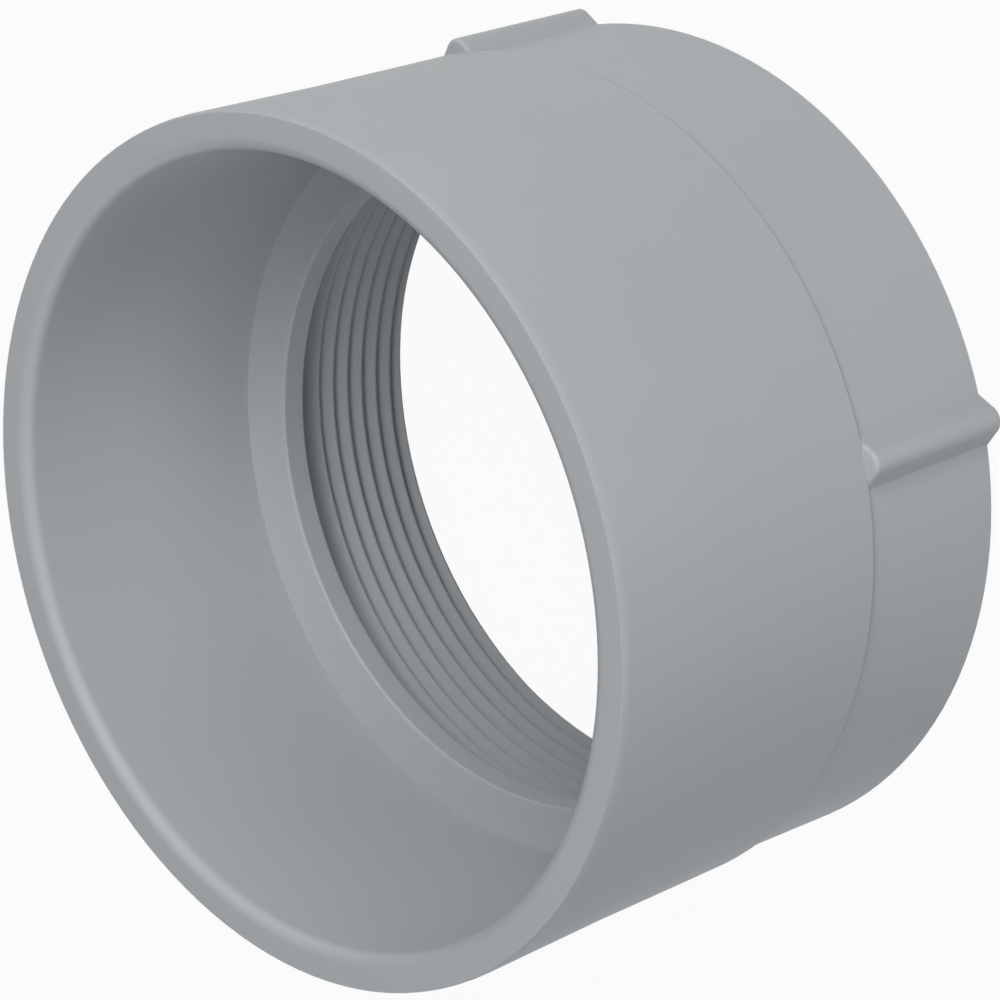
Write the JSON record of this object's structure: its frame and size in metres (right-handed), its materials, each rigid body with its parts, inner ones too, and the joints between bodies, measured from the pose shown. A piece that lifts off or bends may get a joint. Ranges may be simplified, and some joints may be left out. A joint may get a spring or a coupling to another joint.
{
  "type": "conduit adapter",
  "caption": "Female conduit adapter in grey rigid plastic: smooth socket for a glued conduit end, throat ring with stop shoulder, and internal pipe thread in a ribbed collar.",
  "frame": {"origin": "on the bore axis at the threaded end face, the bottom of the part as it stands", "axes": "+Z along the bore axis from the threaded end to the socket mouth; +X towards one grip rib, +Y towards the next"},
  "size_m": [0.1332, 0.1332, 0.0779],
  "materials": {
    "moulded_grey": "satin moulded rigid PVC, mid grey"
  },
  "bodies": {
    "root": {"female_adapter": "moulded_grey"}
  },
  "joints": []
}
